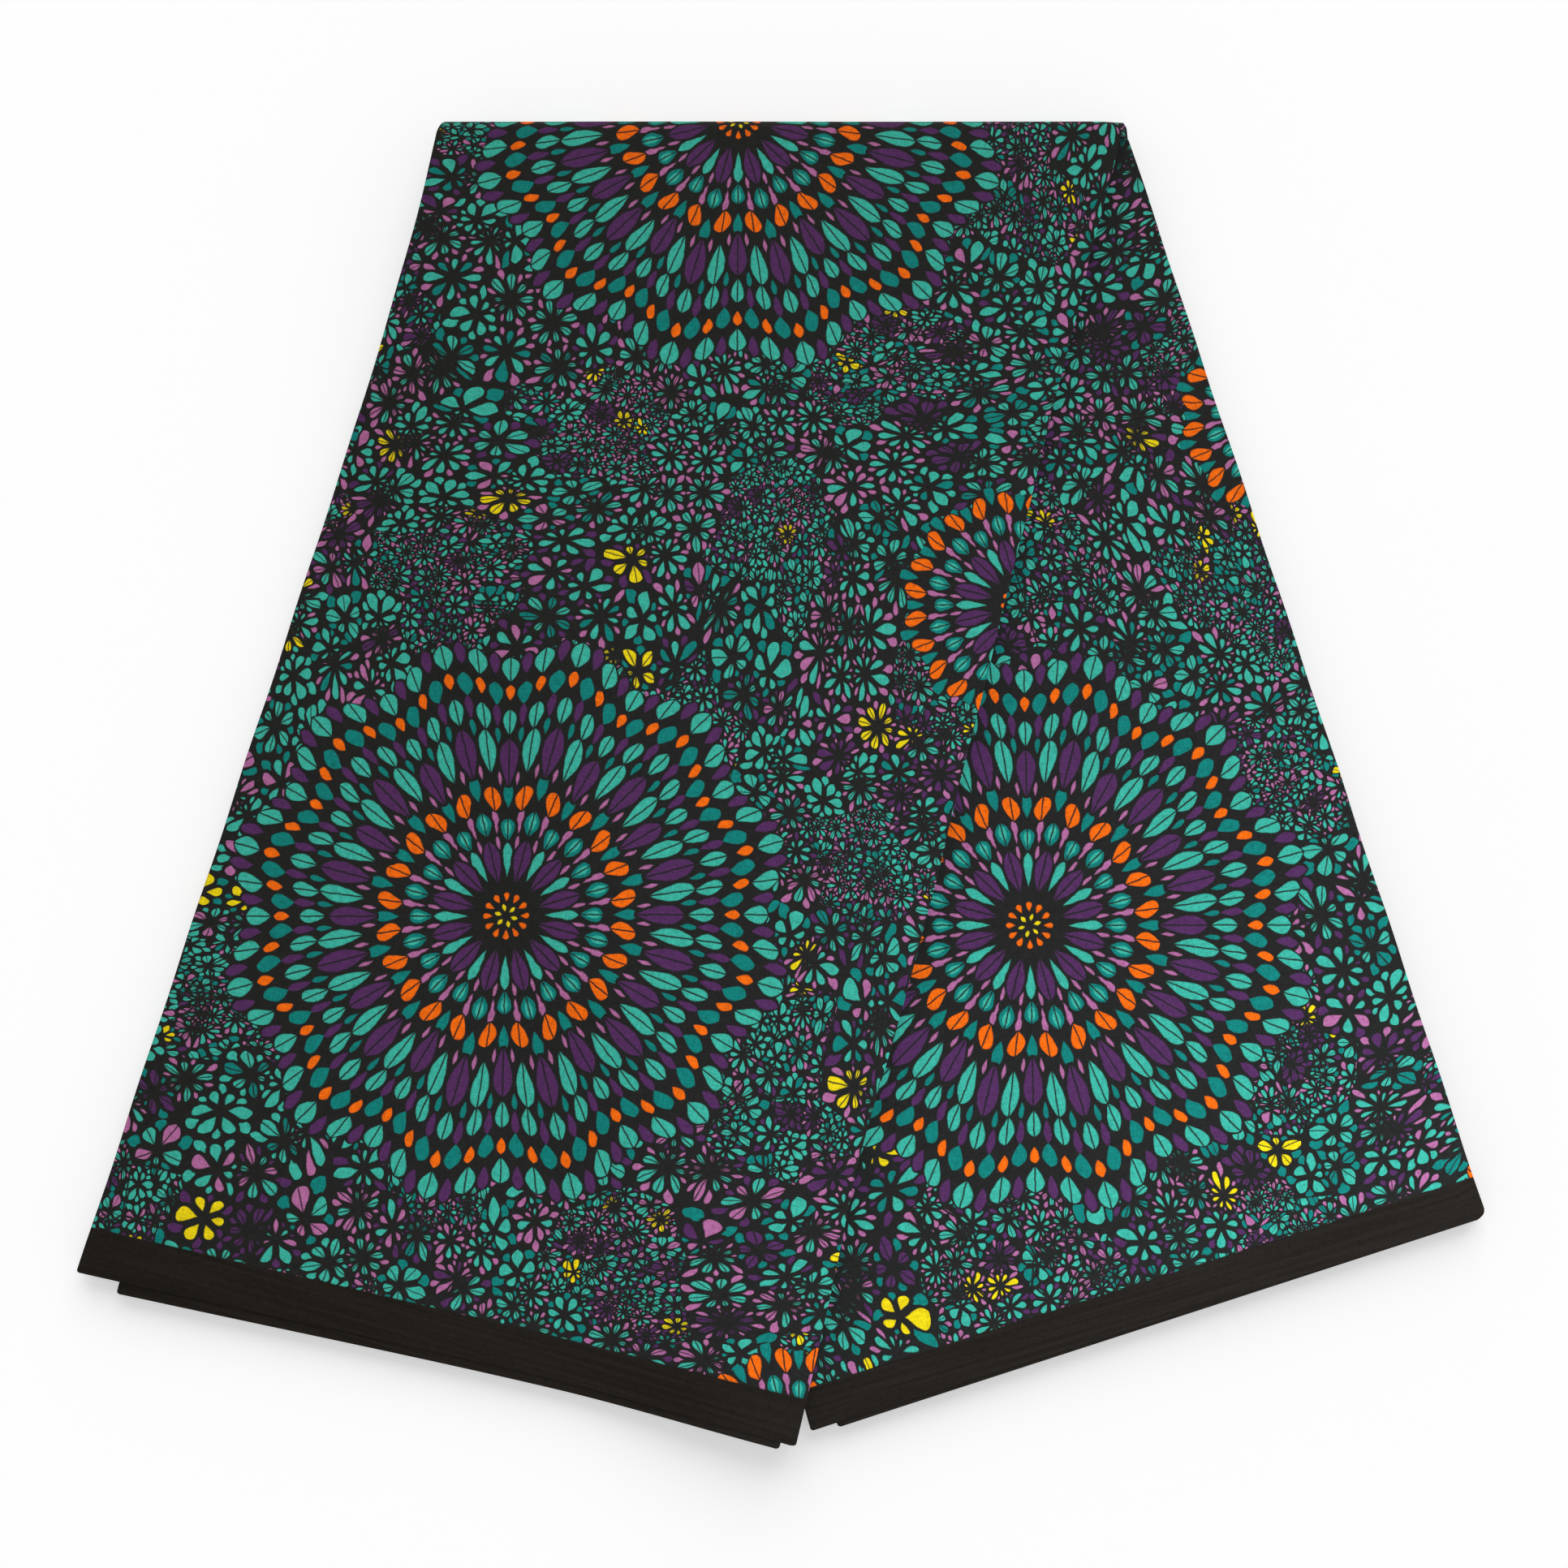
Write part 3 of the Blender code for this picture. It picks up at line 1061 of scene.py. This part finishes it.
@dataclass(kw_only=True)
class ClothShell(ABC):
    """A closed, thin shell of cloth over a grid of rows and stations, in place of one node."""

    strip: FoldedStrip
    node: str
    rests_on: str = FLOOR
    slot: str = "printed_cotton"
    cloth_thickness: float = 0.00028
    lead_power: int = 6

    @property
    def name(self) -> str:
        """The piece's name."""
        return f"{self.node}_cloth"

    @property
    @abstractmethod
    def flat(self) -> tuple[float, float]:
        """The width and length of the cloth that the shell was folded from."""

    @abstractmethod
    def rows(self) -> list[Row]:
        """The rows, in order from the left leg's end to the right one's."""

    @abstractmethod
    def stations(self) -> list[Station]:
        """The shell's cross-section."""

    @abstractmethod
    def side_reach(self, row: Row, station: Station) -> float:
        """How far the side lies past the strip's side."""

    def end_reach(self, row: Row, station: Station) -> float:
        """How far the end lies past the leg's end."""
        return 0.0

    def settle(self, row: Row, station: Station) -> float:
        """How far the cloth lies off its station's radius."""
        return 0.0

    def relief(self, row: Row, place: Vector) -> float:
        """How far the cloth lies outwards at a place on the panel."""
        return 0.0

    def cloth_point(self, row: Row, station: Station) -> ClothPoint:
        """A point of the shell's middle.

        Args:
            row: The row.
            station: The station.

        Returns:
            The point.
        """
        side = -1.0 if station.share < 0.5 else 1.0
        lead = abs(2.0 * station.share - 1.0) ** self.lead_power
        out = self.side_reach(row, station) * lead + station.out
        across = station.share + side * out / self.strip.fold_length
        radius = station.radius + self.settle(row, station)
        return self.strip.point(row, across, radius, self.end_reach(row, station), self.relief)

    def build(self) -> Object:
        """Makes the shell's mesh, with each point's place on the flat cloth.

        Returns:
            The new object.
        """
        rows, stations = self.rows(), self.stations()
        columns, width = len(stations), self.strip.width
        points, places = [], []
        for row in rows:
            for station in stations:
                made = self.cloth_point(row, station)
                points.append(made.position)
                folded = made.spread.x if station.panel % 2 else width - made.spread.x
                places += ((station.panel - 1) * width + folded, made.spread.y, made.from_selvedge)
        faces = [
            (i * columns + j, i * columns + j + 1, (i + 1) * columns + j + 1, (i + 1) * columns + j)
            for i in range(len(rows) - 1)
            for j in range(columns - 1)
        ]
        mesh = bpy.data.meshes.new(self.name)
        mesh.from_pydata(points, [], faces)
        mesh.attributes.new(CLOTH_PLACE, "FLOAT_VECTOR", "POINT").data.foreach_set("vector", places)
        mesh.shade_smooth()
        piece = linked(self.name, mesh)
        solid = piece.modifiers.new("cloth thickness", "SOLIDIFY")
        solid.thickness = self.cloth_thickness
        solid.offset = 0.0
        return piece

    def dressed(self, printed: PrintedCotton) -> Object:
        """Builds the shell, prints it, hangs it under the root body and hides the part that it stands for.

        Args:
            printed: Its finish.

        Returns:
            The new piece.
        """
        piece = self.build()
        piece.data.materials.append(printed.material)
        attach(piece, "root")
        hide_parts(self.node)
        self.flat
        return piece


class EndPanel(Enum):
    """The first and the last panel."""

    OUTERMOST = (1, 0.00815, -1.0)
    INNERMOST = (18, 0.00015, 1.0)

    def __init__(self, number: int, face_radius: float, inward: float) -> None:
        """Names the panel's number, the radius of its bare side and the way to the other panels."""
        self.number, self.face_radius, self.inward = number, face_radius, inward


@dataclass(kw_only=True)
class OuterLeaf(ClothShell):
    """A leg's stretch of the outermost or innermost panel, with a tucked fold at its left side.

    turn_steps is the number of steps round the top fold, or 0 where the stretch ends there. Where
    the leaf lies on the pleats, its cut side and its end settle onto them by the edge's drop.
    """

    leg: Stretch
    panel: EndPanel
    turn_steps: int = 0
    forms: tuple[Crease | Ripple, ...] = ()
    nose_radius: float = 0.00036
    nose_steps: int = 5
    nose_inset: float = 0.00016
    relief_end: float = 0.5
    edge_drop: float = 0.00062
    edge_run: float = 0.012
    waver: float = 0.00022
    waver_pace: float = 45.0
    waver_shifts: tuple[float, float] = (2.0, 1.0)
    end_steps: tuple[float, ...] = (0.0, 0.0004, 0.0010, 0.0019, 0.0032, 0.0052)
    side_steps: tuple[float, ...] = (0.0, 0.0004, 0.0012, 0.0026, 0.0050)
    tuck_steps: tuple[float, ...] = (0.0, 0.002, 0.006, 0.012)
    row_step: float = 0.0058
    station_step: float = 0.0052

    @property
    def flat(self) -> tuple[float, float]:
        """The strip's width, and the leg's length with what goes round the top fold."""
        turn = math.pi * self.panel.face_radius if self.turn_steps else 0.0
        return self.strip.width, self.strip.leg_length(self.leg) + turn

    def rows(self) -> list[Row]:
        """The leg's rows, and the turn's where the stretch goes round the top fold."""
        turn = [*turn_rows(self.turn_steps), Row(Stretch.RIGHT, 0.0)] if self.turn_steps else []
        return self.strip.leg_rows(self.leg, self.end_steps, self.row_step) + turn

    def stations(self) -> list[Station]:
        """The cross-section, from the cut right side to the left fold and the tuck under it.

        Returns:
            The stations, in order.
        """
        number, inward, width = self.panel.number, self.panel.inward, self.strip.width
        middle = self.panel.face_radius + inward * self.cloth_thickness / 2
        shares = self.strip.shares_across(self.side_steps, self.station_step)
        stations = [Station(share, middle, number, loose=True) for share in reversed(shares)]
        for down, out in nose(self.nose_steps, self.nose_radius):
            stations.append(Station(0.0, middle + inward * down, number, out))
        under = middle + inward * 2 * self.nose_radius
        return stations + [Station(reach / width, under, number) for reach in self.tuck_steps]

    def relief(self, row: Row, place: Vector) -> float:
        """How far creases and ripples lift the cloth, fading out round the top fold."""
        share = 1.0 - smooth_step(abs(row.turned - Row(self.leg, 0.0).turned) / self.relief_end)
        return -self.panel.inward * share * sum(form.lift(place) for form in self.forms)

    def settle(self, row: Row, station: Station) -> float:
        """How far the cloth sinks onto the pleats at its cut side and at its end.

        Args:
            row: The row.
            station: The station.

        Returns:
            The change of the radius in metres.
        """
        if not station.loose or self.rests_on != PLEATS:
            return 0.0
        from_side = (1.0 - station.share) * self.strip.width
        drop = 1.0 - smooth_step(from_side / self.edge_run)
        if row.stretch is not Stretch.TURN:
            from_end = (1.0 - row.along) * self.strip.leg_length(row.stretch)
            from_fold = station.share * self.strip.width
            end_drop = 1.0 - smooth_step(from_end / self.edge_run)
            drop = max(drop, end_drop * smooth_step(from_fold / (2 * self.edge_run)))
        return self.panel.inward * self.edge_drop * drop

    def side_reach(self, row: Row, station: Station) -> float:
        """How far the side lies past the strip's side: a hair less, with a slow waver.

        Args:
            row: The row.
            station: The station.

        Returns:
            The distance in metres.
        """
        at_right = station.share > 0.5
        way = {Stretch.LEFT: -row.along, Stretch.TURN: 0.0, Stretch.RIGHT: row.along}[row.stretch]
        phase = self.waver_pace * way + self.waver_shifts[0] * self.panel.number
        phase += self.waver_shifts[1] if at_right else 0.0
        reach = self.waver * math.sin(phase) - (0.0 if at_right else self.nose_inset)
        return reach + self.strip.side_form(row, station)


@dataclass(frozen=True)
class PleatPair:
    """How far one folded pair of hidden panels reaches past the leaves, in millimetres.

    left_end and right_end are the reaches at the two legs' ends, beside the left side and the right
    side. left_side and right_side are the reaches at the left leg's end, at the top fold and at the
    right leg's end.
    """

    left_end: tuple[float, float]
    right_end: tuple[float, float]
    left_side: tuple[float, float, float]
    right_side: tuple[float, float, float]


@dataclass(kw_only=True)
class HiddenPanels(ClothShell):
    """The sixteen panels between the leaves: one pleated shell, with every fold at a side."""

    node: str = "hidden_layers"
    slot: str = "folded_edges"
    rests_on: str = "left_leg_underside_cloth"
    outer_radius: float = 0.00685
    inner_radius: float = 0.00145
    nose_steps: int = 3
    first_panel: int = 2
    end_steps: tuple[float, ...] = (0.0, 0.0006, 0.0016, 0.0032, 0.0090)
    side_steps: tuple[float, ...] = (0.0, 0.0012, 0.0040)
    station_step: float = 0.0105
    left_step: float = 0.0150
    right_step: float = 0.0300
    turn_steps: int = 9
    end_run: float = 0.1
    waver: float = 0.0003
    waver_pace: float = 17.0
    waver_shift: float = 2.6
    pairs: tuple[PleatPair, ...] = (
        PleatPair((5.2, 3.1), (-3.0, -2.0), (-18.3, -0.6, -2.0), (-6.6, -0.8, -1.2)),
        PleatPair((-1.0, 0.4), (-0.8, -2.4), (-1.6, -1.2, -0.4), (-0.6, -1.6, -2.0)),
        PleatPair((-3.0, -2.2), (-2.0, -0.6), (-0.4, -0.4, -2.2), (-1.8, -0.5, -0.4)),
        PleatPair((-0.6, -2.6), (-3.2, -1.4), (-2.0, -1.2, -0.8), (-0.4, -1.4, -1.6)),
        PleatPair((-2.4, -0.8), (-1.2, -2.8), (-1.0, -0.4, -1.8), (-1.6, -0.6, -0.8)),
        PleatPair((-1.2, -3.0), (-2.6, -1.0), (-2.2, -1.4, -0.4), (-0.6, -1.4, -2.2)),
        PleatPair((-3.2, -1.4), (-0.6, -2.2), (-0.6, -0.6, -2.0), (-2.0, -0.8, -0.6)),
        PleatPair((-2.0, -1.0), (2.1, 0.6), (-0.8, -0.5, -12.1), (-1.2, -0.6, -0.8)),
    )

    @property
    def name(self) -> str:
        """The piece's name."""
        return PLEATS

    @property
    def panel_count(self) -> int:
        """The number of hidden panels."""
        return 2 * len(self.pairs)

    @property
    def pitch(self) -> float:
        """The height of one panel in the stack."""
        return (self.outer_radius - self.inner_radius) / self.panel_count

    @property
    def flat(self) -> tuple[float, float]:
        """The size of the panels, laid out side by side.

        Returns:
            Their mean length, with what goes round the top fold, and the width of them all.
        """
        legs = sum(map(self.strip.leg_length, self.strip.edges))
        turn = math.pi * (self.outer_radius + self.inner_radius) / 2
        return legs + turn, self.panel_count * self.strip.width

    def rows(self) -> list[Row]:
        """The rows of both legs and the turn between them.

        Returns:
            The rows, in order.
        """
        left = self.strip.leg_rows(Stretch.LEFT, self.end_steps, self.left_step)
        right = self.strip.leg_rows(Stretch.RIGHT, self.end_steps, self.right_step)
        return left + turn_rows(self.turn_steps) + right

    def stations(self) -> list[Station]:
        """The cross-section, to and fro across the strip, with a round nose at each fold.

        Returns:
            The stations, in order.
        """
        shares = self.strip.shares_across(self.side_steps, self.station_step)
        stations = []
        for index in range(self.panel_count):
            panel = self.first_panel + index
            radius = self.outer_radius - (index + 0.5) * self.pitch
            ordered = shares if index % 2 == 0 else shares[::-1]
            stations += [Station(share, radius, panel) for share in ordered]
            if index == self.panel_count - 1:
                break
            for step, (down, out) in enumerate(nose(self.nose_steps, self.pitch / 2), start=1):
                owner = panel if step * 2 < self.nose_steps else panel + 1
                stations.append(Station(ordered[-1], radius - down, owner, out))
        return stations

    def pairs_beside(self, index: int) -> tuple[PleatPair, PleatPair]:
        """The folded pairs that a panel belongs to at its left side and at its right side."""
        return self.pairs[min((index + 1) // 2, len(self.pairs) - 1)], self.pairs[index // 2]

    def side_reach(self, row: Row, station: Station) -> float:
        """How far a panel's side lies past the strip's side, from end to end through the top fold.

        Args:
            row: The row.
            station: The station.

        Returns:
            The distance in metres.
        """
        index = station.panel - self.first_panel
        at_left, at_right = self.pairs_beside(index)
        reaches = at_left.left_side if station.share < 0.5 else at_right.right_side
        out = self.strip.side_form(row, station) - self.pitch / 2
        if row.stretch is Stretch.TURN:
            return MILLIMETRE * reaches[1] + out
        at_end = reaches[0] if row.stretch is Stretch.LEFT else reaches[2]
        out += self.waver * math.sin(self.waver_pace * row.along) * math.cos(self.waver_shift * index)
        return MILLIMETRE * part_way(reaches[1], at_end, row.along**2) + out

    def end_reach(self, row: Row, station: Station) -> float:
        """How far a panel's end lies past the leaf's end: the same on both sides of each fold.

        Args:
            row: The row.
            station: The station.

        Returns:
            The distance in metres.
        """
        if row.stretch is Stretch.TURN:
            return 0.0
        at_left, at_right = self.pairs_beside(station.panel - self.first_panel)
        on_left = row.stretch is Stretch.LEFT
        left_reach = (at_left.left_end if on_left else at_left.right_end)[0]
        right_reach = (at_right.left_end if on_left else at_right.right_end)[1]
        share = smooth_step((row.along - 1.0 + self.end_run) / self.end_run)
        return MILLIMETRE * part_way(left_reach, right_reach, station.share) * share


@dataclass(frozen=True)
class Studio:
    """The pale floor, the soft light and the camera.

    The sky is white at the horizon and dimmer overhead. A broad, low light from behind casts the
    soft shadow, and a cool lamp near the right leg's end lights the cloth alone.
    """

    floor_half: float = 30.0
    floor_level: float = -0.0003
    floor_white: float = 0.93
    floor_glow: float = 0.40
    floor_roughness: float = 0.9
    white_height: float = 0.2
    dim_height: float = 0.5
    overhead: float = 0.30
    sun_height: float = math.radians(33)
    sun_aside: float = math.radians(8)
    sun_breadth: float = math.radians(55)
    sun_strength: float = 1.40
    lamp_place: tuple[float, float, float] = (0.55, -0.50, 0.60)
    lamp_aim: tuple[float, float, float] = (0.05, -0.05, 0.0)
    lamp_size: float = 0.5
    lamp_power: float = 7.3
    lamp_colour: tuple[float, float, float] = (0.85, 1.0, 1.18)
    tilt: float = math.radians(9.5)
    distance: float = 0.85
    target: tuple[float, float, float] = (0.0, -0.01595, 0.0)
    focal_pixels: float = 2313.0
    frame_pixels: float = 1932.0
    sensor: float = 36.0
    clip: tuple[float, float] = (0.01, 100.0)

    def build(self, pieces: list[Object]) -> None:
        """Builds the whole studio.

        Args:
            pieces: The pieces of cloth that the lamp lights.
        """
        self.floor()
        self.sky()
        self.sun()
        self.lamp(pieces)
        self.camera()
        bpy.context.scene.view_settings.view_transform = "Standard"

    def floor(self) -> None:
        """A wide white floor, just under the cloth."""
        half, level = self.floor_half, self.floor_level
        mesh = bpy.data.meshes.new(FLOOR)
        corners = [(-half, -half, level), (half, -half, level), (half, half, level), (-half, half, level)]
        mesh.from_pydata(corners, [], [(0, 1, 2, 3)])
        bench = NodeBench(bpy.data.materials.new(FLOOR))
        surface = {
            "Base Color": (self.floor_white, self.floor_white, self.floor_white, 1.0),
            "Roughness": self.floor_roughness,
            "Specular IOR Level": 0.0,
            "Emission Color": WHITE,
            "Emission Strength": self.floor_glow,
        }
        bench.feed(bench.shader, surface)
        mesh.materials.append(bench.owner)
        linked(FLOOR, mesh)

    def sky(self) -> None:
        """A pale sky all round."""
        world = bpy.data.worlds.new("studio")
        bench = NodeBench(world, "Background")
        direction = bench.node("ShaderNodeTexCoord").outputs["Generated"]
        height = bench.parts("XYZ", direction)[2]
        stops = [(self.white_height, WHITE), (self.dim_height, (self.overhead,) * 3 + (1.0,))]
        ramp = bench.node("ShaderNodeValToRGB", {"stops": stops}, {0: height})
        bench.feed(bench.shader, {"Color": ramp.outputs[0]})
        bpy.context.scene.world = world

    def sun(self) -> None:
        """The broad, low light behind the top fold."""
        data = bpy.data.lights.new("back_light", "SUN")
        data.angle = self.sun_breadth
        data.energy = self.sun_strength
        level = math.cos(self.sun_height)
        aside, behind = level * math.sin(self.sun_aside), level * math.cos(self.sun_aside)
        place = Vector((aside, behind, math.sin(self.sun_height)))
        self.aim(linked("back_light", data), place, Vector())

    def lamp(self, pieces: list[Object]) -> None:
        """The soft lamp near the right leg's end.

        Args:
            pieces: The pieces that it lights.
        """
        data = bpy.data.lights.new("near_lamp", "AREA")
        data.size = self.lamp_size
        data.energy = self.lamp_power
        data.color = self.lamp_colour
        lamp = linked("near_lamp", data)
        self.aim(lamp, Vector(self.lamp_place), Vector(self.lamp_aim))
        lit = bpy.data.collections.new("lit_cloth")
        for piece in pieces:
            lit.objects.link(piece)
        lamp.light_linking.receiver_collection = lit

    def camera(self) -> None:
        """The camera at the photograph's angle: almost straight down, a little from the front."""
        data = bpy.data.cameras.new("camera")
        data.sensor_width = self.sensor
        data.lens = self.sensor * self.focal_pixels / self.frame_pixels
        data.clip_start, data.clip_end = self.clip
        camera = linked("camera", data)
        back = Vector((0.0, -math.sin(self.tilt), math.cos(self.tilt)))
        camera.location = Vector(self.target) + self.distance * back
        camera.rotation_euler = (self.tilt, 0.0, 0.0)
        bpy.context.scene.camera = camera

    @staticmethod
    def aim(light: Object, place: Vector, target: Vector) -> None:
        """Puts a light at a place and turns it to a target."""
        light.location = place
        light.rotation_euler = (target - place).to_track_quat("-Z", "Y").to_euler()


RIPPLES = (
    Ripple(0.190, math.radians(35), 0.4, 0.00022),
    Ripple(0.117, math.radians(105), 1.9, 0.00014),
    Ripple(0.071, math.radians(160), 3.1, 0.00006),
)
FACE_FORMS = (
    Crease((0.247, 0.000), (0.243, 0.085), 0.0025, -0.00035),
    Crease((0.030, 0.120), (0.110, 0.330), 0.0140, 0.00050),
    Crease((0.200, 0.240), (0.270, 0.470), 0.0120, -0.00045),
    Crease((0.060, 0.420), (0.180, 0.540), 0.0160, 0.00045),
    Crease((0.120, 0.060), (0.230, 0.150), 0.0110, 0.00035),
    *RIPPLES,
)
RIGHT_FORMS = (
    Crease((0.290, 0.760), (0.180, 0.980), 0.0120, 0.00045),
    Crease((0.150, 0.930), (0.220, 1.130), 0.0100, -0.00035),
    Crease((0.250, 1.020), (0.290, 1.120), 0.0080, 0.00030),
    *RIPPLES,
)
UNDER_FORMS = (
    Crease((0.050, 0.100), (0.090, 0.300), 0.0120, -0.00030),
    Crease((0.180, 0.180), (0.120, 0.380), 0.0100, -0.00030),
)


def leaves(strip: FoldedStrip) -> list[OuterLeaf]:
    """The four stretches of cloth that show.

    Args:
        strip: The strip that they are parts of.

    Returns:
        The leaves, each named for the node that it stands for.
    """
    outer = partial(OuterLeaf, strip=strip, panel=EndPanel.OUTERMOST)
    inner = partial(OuterLeaf, strip=strip, panel=EndPanel.INNERMOST)
    left, right = Stretch.LEFT, Stretch.RIGHT
    return [
        outer(node="left_leg_face", leg=left, rests_on=PLEATS, turn_steps=16, forms=FACE_FORMS),
        outer(node="right_leg_underside", leg=right),
        inner(node="left_leg_underside", leg=left, turn_steps=5, forms=UNDER_FORMS),
        inner(node="right_leg_face", leg=right, rests_on=PLEATS, forms=RIGHT_FORMS),
    ]


def report(piece: Object) -> None:
    """Logs a piece's name and size."""
    size = ", ".join(f"{side / MILLIMETRE:.1f}" for side in piece.dimensions)
    log.info("%s: %d points, %s mm", piece.name, len(piece.data.vertices), size)


def main() -> None:
    """Builds the cloth, dresses it, and sets up the studio."""
    logging.basicConfig(level=logging.INFO, format="%(message)s")
    strip = FoldedStrip()
    printed = PrintedCotton("printed_cotton", BloomField(), FlowerField())
    pieces = [shell.dressed(printed) for shell in (*leaves(strip), HiddenPanels(strip=strip))]
    for piece in pieces:
        report(piece)
    Studio().build(pieces)


if __name__ == "__main__":
    main()
